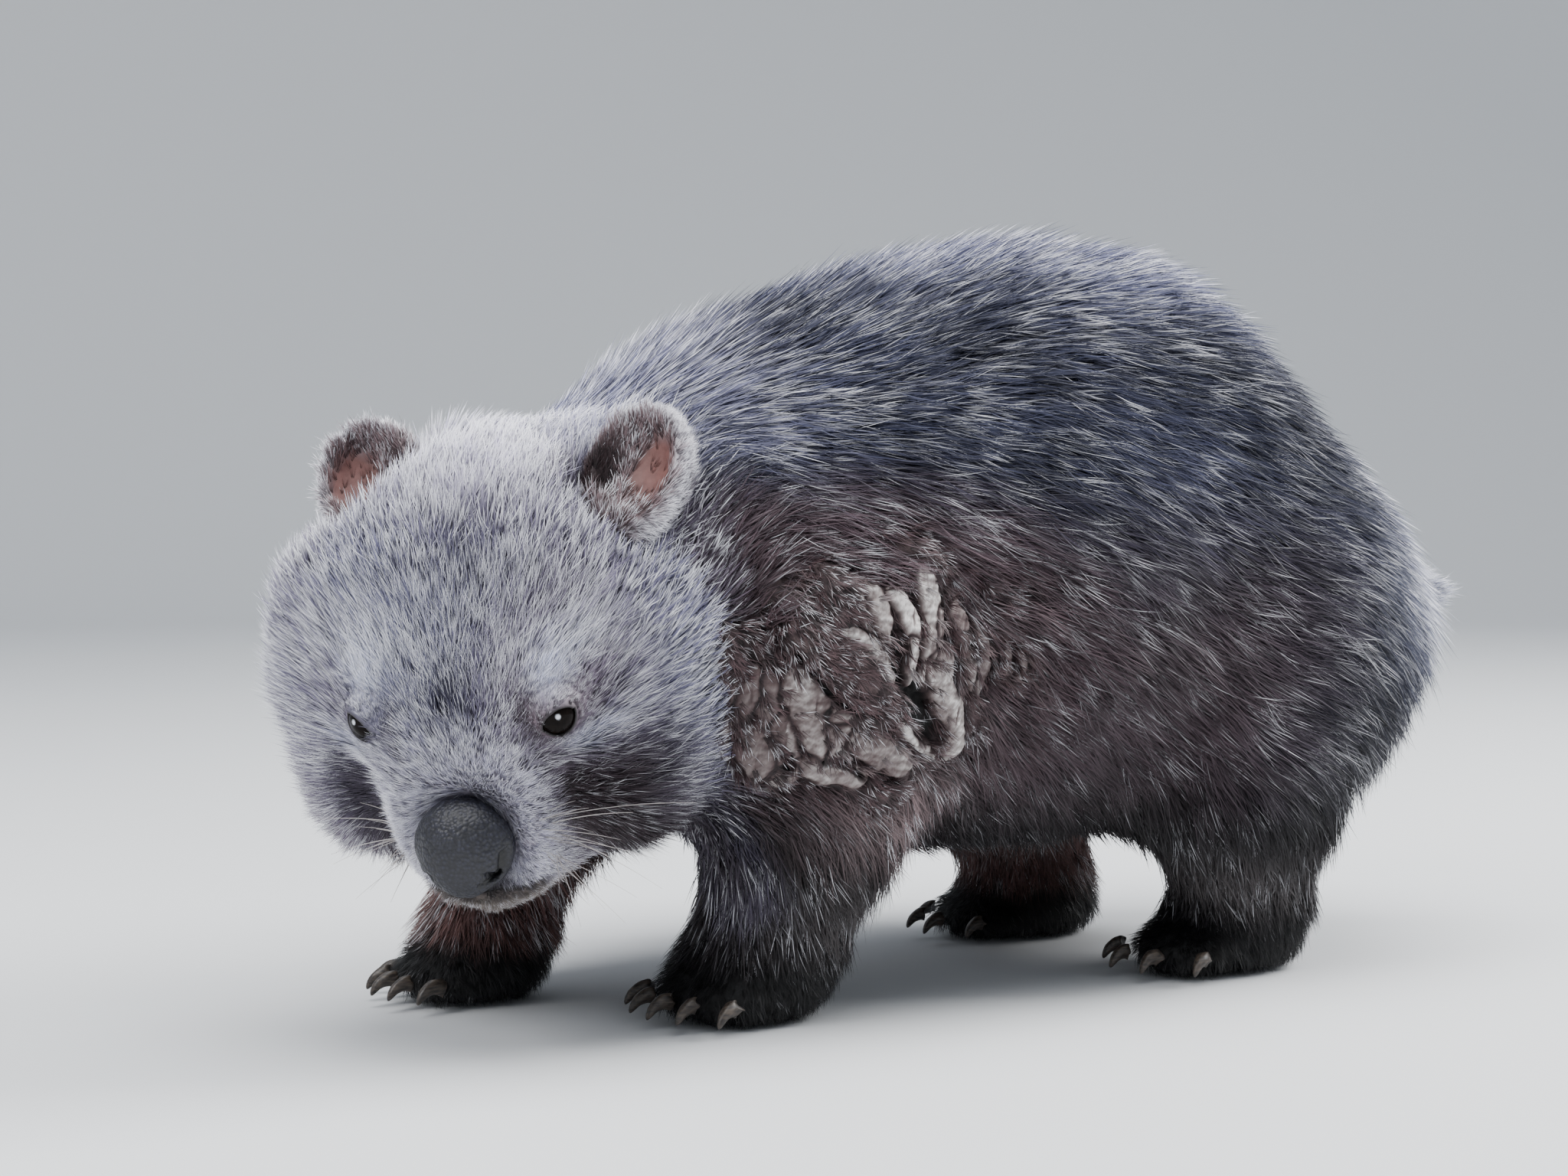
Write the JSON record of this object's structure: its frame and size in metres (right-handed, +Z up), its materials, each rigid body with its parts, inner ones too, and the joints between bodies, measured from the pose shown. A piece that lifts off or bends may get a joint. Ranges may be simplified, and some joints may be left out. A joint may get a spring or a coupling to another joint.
{
  "type": "wombat figure",
  "caption": "Life-size still figure of a common wombat, standing with its head lowered and turned to its left, with crusted bare skin on its left flank.",
  "frame": {"origin": "centre of the bounding box in plan, on the floor under the feet", "axes": "-Y is the way the body faces, +X is the animal's left, +Z is up"},
  "size_m": [0.304, 0.7124, 0.3777],
  "materials": {
    "coat_back": "coarse charcoal fur with pale tips",
    "coat_head": "silver-grey fur",
    "coat_legs": "dark brown shaggy fur",
    "nose_skin": "granular dark bare skin",
    "eye": "wet gloss",
    "claw": "worn dark horn"
  },
  "bodies": {
    "root": {"claw_forepaw_left_1": "claw", "claw_forepaw_left_2": "claw", "claw_forepaw_left_3": "claw", "claw_forepaw_left_4": "claw", "claw_forepaw_left_5": "claw", "claw_forepaw_right_1": "claw", "claw_forepaw_right_2": "claw", "claw_forepaw_right_3": "claw", "claw_forepaw_right_4": "claw", "claw_forepaw_right_5": "claw", "claw_hindpaw_left_1": "claw", "claw_hindpaw_left_2": "claw", "claw_hindpaw_left_3": "claw", "claw_hindpaw_left_4": "claw", "claw_hindpaw_right_1": "claw", "claw_hindpaw_right_2": "claw", "claw_hindpaw_right_3": "claw", "claw_hindpaw_right_4": "claw", "ear_left": "coat_head", "ear_right": "coat_head", "eye_left": "eye", "eye_right": "eye", "foreleg_left": "coat_legs", "foreleg_right": "coat_legs", "forepaw_left": "coat_legs", "forepaw_right": "coat_legs", "head": "coat_head", "hindleg_left": "coat_legs", "hindleg_right": "coat_legs", "hindpaw_left": "coat_legs", "hindpaw_right": "coat_legs", "nose_pad": "nose_skin", "tail": "coat_head", "torso": "coat_back"}
  },
  "joints": []
}
